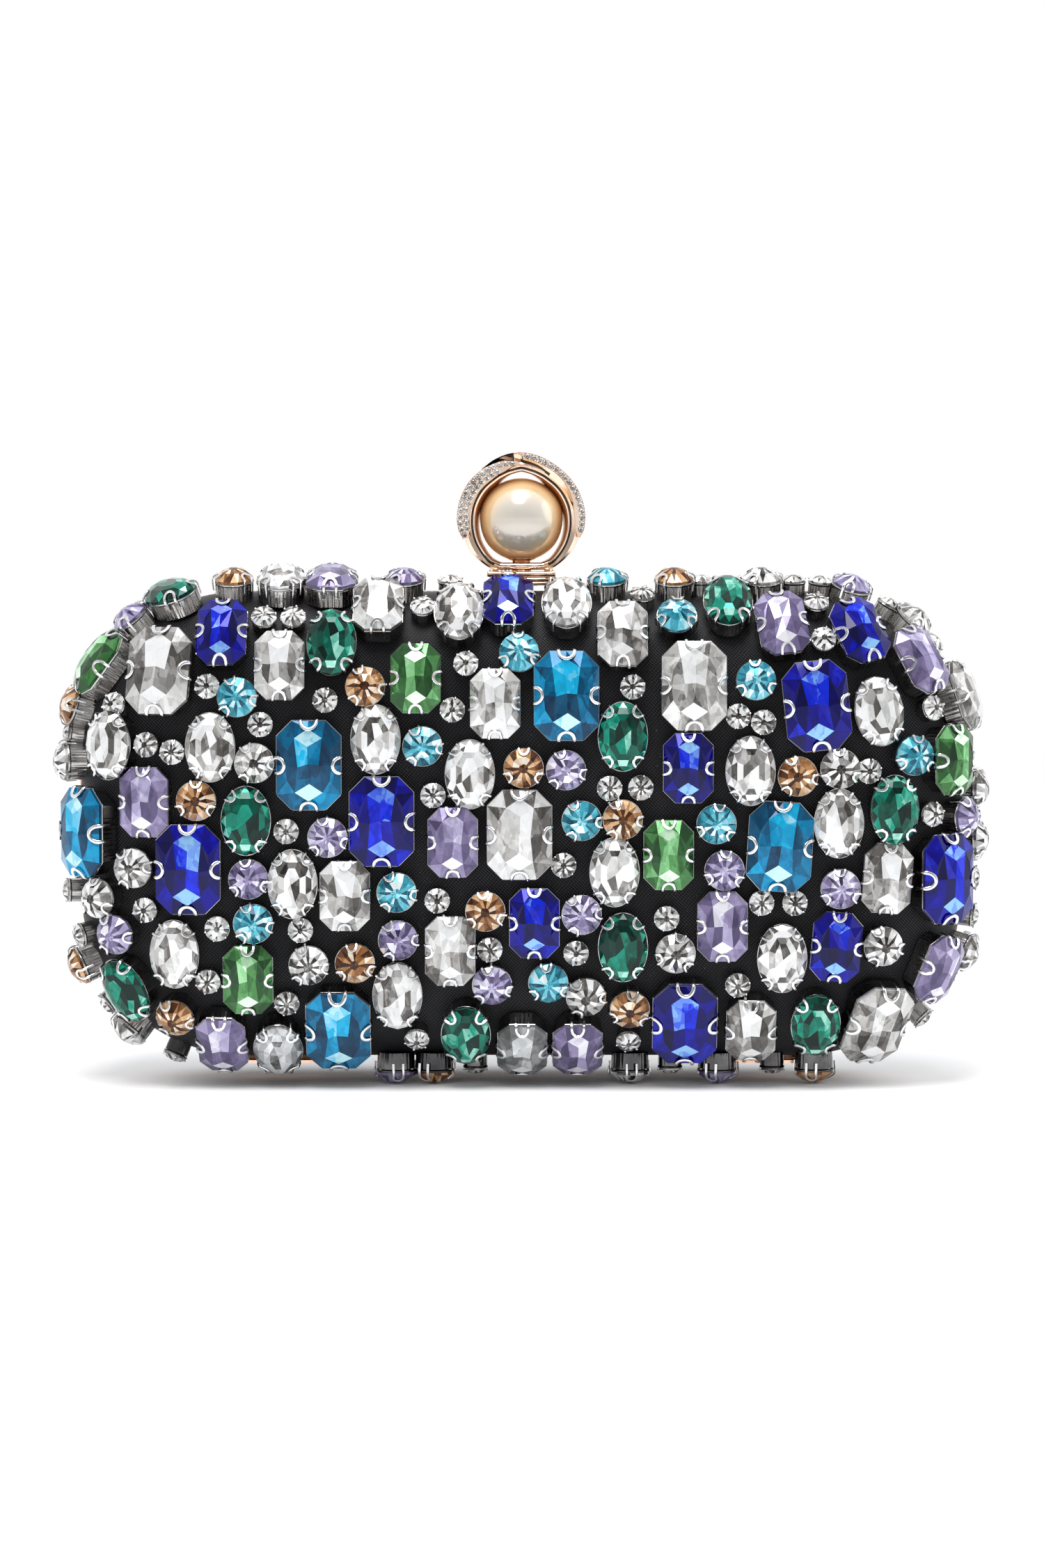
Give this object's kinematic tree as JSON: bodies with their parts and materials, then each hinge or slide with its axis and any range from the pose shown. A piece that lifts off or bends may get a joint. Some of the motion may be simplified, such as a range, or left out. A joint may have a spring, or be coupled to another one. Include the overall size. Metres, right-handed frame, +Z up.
{
  "type": "clutch",
  "caption": "Hard-shelled evening clutch with faceted crystals on its satin front, two bottom hinges and a sprung pearl-and-ring clasp on top.",
  "frame": {"origin": "centre of the footprint, on the surface that the clutch stands on", "axes": "+X to the right as seen from the jewelled front, +Y from the front to the back, +Z up"},
  "size_m": [0.191, 0.0512, 0.1282],
  "materials": {
    "black_satin": "satin",
    "jewelled_satin": "satin",
    "shell_board": "matt",
    "lining": "suede",
    "rose_gold": "polished",
    "spring_steel": "drawn",
    "pearl": "pearlescent",
    "crystal_clear": "faceted, foil-backed",
    "crystal_cobalt": "faceted, foil-backed",
    "crystal_turquoise": "faceted, foil-backed",
    "crystal_peridot": "faceted, foil-backed",
    "crystal_violet": "faceted, foil-backed",
    "crystal_amber": "faceted, foil-backed"
  },
  "bodies": {
    "back_half": {"back_shell": "shell_board", "back_cover": "black_satin", "back_lining": "lining", "back_frame": "rose_gold", "back_hinge_leaf_left": "rose_gold", "back_hinge_leaf_right": "rose_gold", "hinge_pin_left": "rose_gold", "hinge_pin_right": "rose_gold", "clasp_bracket": "rose_gold", "clasp_axle": "rose_gold", "clasp_spring": "spring_steel"},
    "front_half": {"front_shell": "shell_board", "front_cover": "jewelled_satin", "front_lining": "lining", "front_frame": "rose_gold", "front_hinge_leaf_left": "rose_gold", "front_hinge_leaf_right": "rose_gold", "clasp_catch": "rose_gold", "crystal_large_01": "crystal_clear", "crystal_large_02": "crystal_clear", "crystal_large_03": "crystal_clear", "crystal_large_04": "crystal_clear", "crystal_large_05": "crystal_cobalt", "crystal_large_06": "crystal_cobalt", "crystal_large_07": "crystal_cobalt", "crystal_large_08": "crystal_cobalt", "crystal_large_09": "crystal_cobalt", "crystal_large_10": "crystal_turquoise", "crystal_large_11": "crystal_turquoise", "crystal_large_12": "crystal_turquoise", "crystal_large_13": "crystal_turquoise", "crystal_large_14": "crystal_turquoise", "crystal_medium_01": "crystal_clear", "crystal_medium_02": "crystal_clear", "crystal_medium_03": "crystal_clear", "crystal_medium_04": "crystal_clear", "crystal_medium_05": "crystal_clear", "crystal_medium_06": "crystal_clear", "crystal_medium_07": "crystal_clear", "crystal_medium_08": "crystal_clear", "crystal_medium_09": "crystal_clear", "crystal_medium_10": "crystal_cobalt", "crystal_medium_11": "crystal_cobalt", "crystal_medium_12": "crystal_cobalt", "crystal_medium_13": "crystal_cobalt", "crystal_medium_14": "crystal_cobalt", "crystal_medium_15": "crystal_cobalt", "crystal_medium_16": "crystal_peridot", "crystal_foot_01": "crystal_amber", "crystal_foot_02": "crystal_amber", "crystal_foot_03": "crystal_clear", "crystal_foot_04": "crystal_violet", "crystal_foot_05": "crystal_violet"},
    "clasp": {"clasp_lever": "rose_gold", "pearl_ring": "rose_gold", "ring_wrap_left": "rose_gold", "ring_wrap_right": "rose_gold", "pearl": "pearl", "pearl_post": "rose_gold"}
  },
  "joints": [
    {"name": "front_opening", "type": "hinge", "parent": "back_half", "child": "front_half", "pos_m": [0, 0.00305, 0.00407], "axis": [1, 0, 0], "range_deg": [0, 90]},
    {"name": "clasp_tilt", "type": "hinge", "parent": "back_half", "child": "clasp", "pos_m": [0, 0.00925, 0.10347], "axis": [-1, 0, 0], "range_deg": [0, 25], "stiffness_Nm_per_rad": 0.08, "springref_deg": -28.65, "deforming": ["clasp_spring"]}
  ]
}
